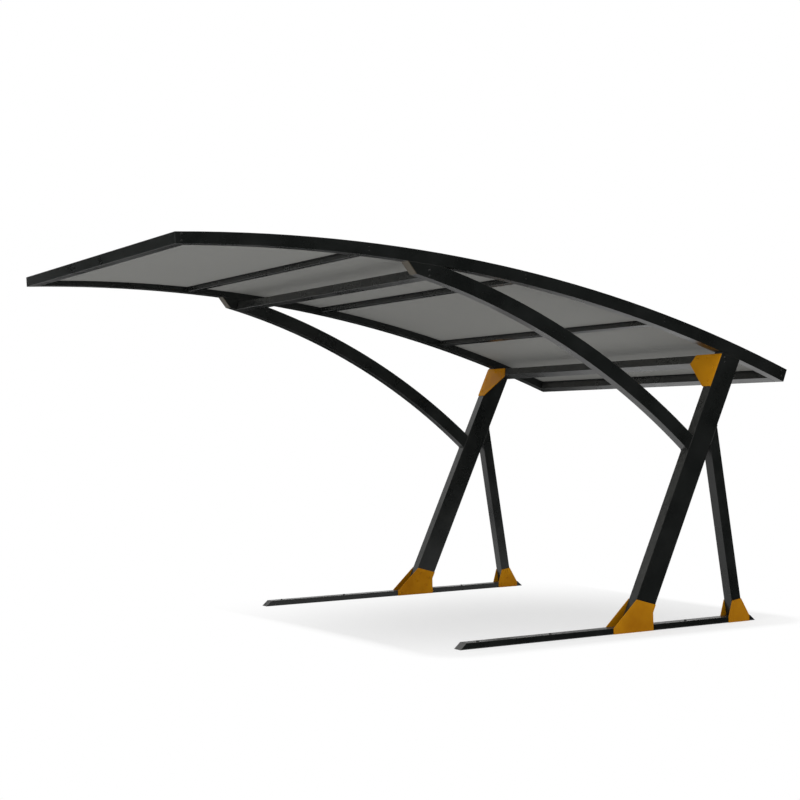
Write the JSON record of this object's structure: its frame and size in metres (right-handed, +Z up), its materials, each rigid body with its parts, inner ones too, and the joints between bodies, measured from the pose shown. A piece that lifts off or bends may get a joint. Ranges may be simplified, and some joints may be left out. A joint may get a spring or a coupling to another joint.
{
  "type": "carport",
  "caption": "Cantilever carport: two leaning side frames with arched braces carry a gently arched roof of smoked sheets, open at the front, rear and sides.",
  "frame": {"origin": "on the floor, midway between the side frames and midway along the roof", "axes": "+Z up, +Y to the rear, where the columns stand, +X to the right seen from the front; the roof is longest along Y"},
  "size_m": [3.012, 4.55, 2.5393],
  "materials": {
    "black_powder_coated_aluminium": "satin black powder coat",
    "gold_powder_coated_steel": "satin gold powder coat",
    "bronze_powder_coated_cap": "satin bronze powder coat",
    "smoked_polycarbonate_sheet": "smoked solid polycarbonate, closed to view"
  },
  "bodies": {
    "root": {"left_sill": "black_powder_coated_aluminium", "right_sill": "black_powder_coated_aluminium", "left_column": "black_powder_coated_aluminium", "right_column": "black_powder_coated_aluminium", "left_strut": "black_powder_coated_aluminium", "right_strut": "black_powder_coated_aluminium", "left_arched_brace": "black_powder_coated_aluminium", "right_arched_brace": "black_powder_coated_aluminium", "left_side_beam": "black_powder_coated_aluminium", "right_side_beam": "black_powder_coated_aluminium", "front_fascia": "black_powder_coated_aluminium", "rear_fascia": "black_powder_coated_aluminium", "front_purlin": "black_powder_coated_aluminium", "middle_purlin": "black_powder_coated_aluminium", "rear_purlin": "black_powder_coated_aluminium", "front_cross_beam": "black_powder_coated_aluminium", "rear_cross_beam": "black_powder_coated_aluminium", "left_brace_cap": "bronze_powder_coated_cap", "right_brace_cap": "bronze_powder_coated_cap", "front_roof_sheet": "smoked_polycarbonate_sheet", "front_middle_roof_sheet": "smoked_polycarbonate_sheet", "rear_middle_roof_sheet": "smoked_polycarbonate_sheet", "rear_roof_sheet": "smoked_polycarbonate_sheet", "left_column_foot_outer_plate": "gold_powder_coated_steel", "left_column_foot_inner_plate": "gold_powder_coated_steel", "left_strut_foot_outer_plate": "gold_powder_coated_steel", "left_strut_foot_inner_plate": "gold_powder_coated_steel", "left_knee_plate": "gold_powder_coated_steel", "right_column_foot_outer_plate": "gold_powder_coated_steel", "right_column_foot_inner_plate": "gold_powder_coated_steel", "right_strut_foot_outer_plate": "gold_powder_coated_steel", "right_strut_foot_inner_plate": "gold_powder_coated_steel", "right_knee_plate": "gold_powder_coated_steel"}
  },
  "joints": []
}
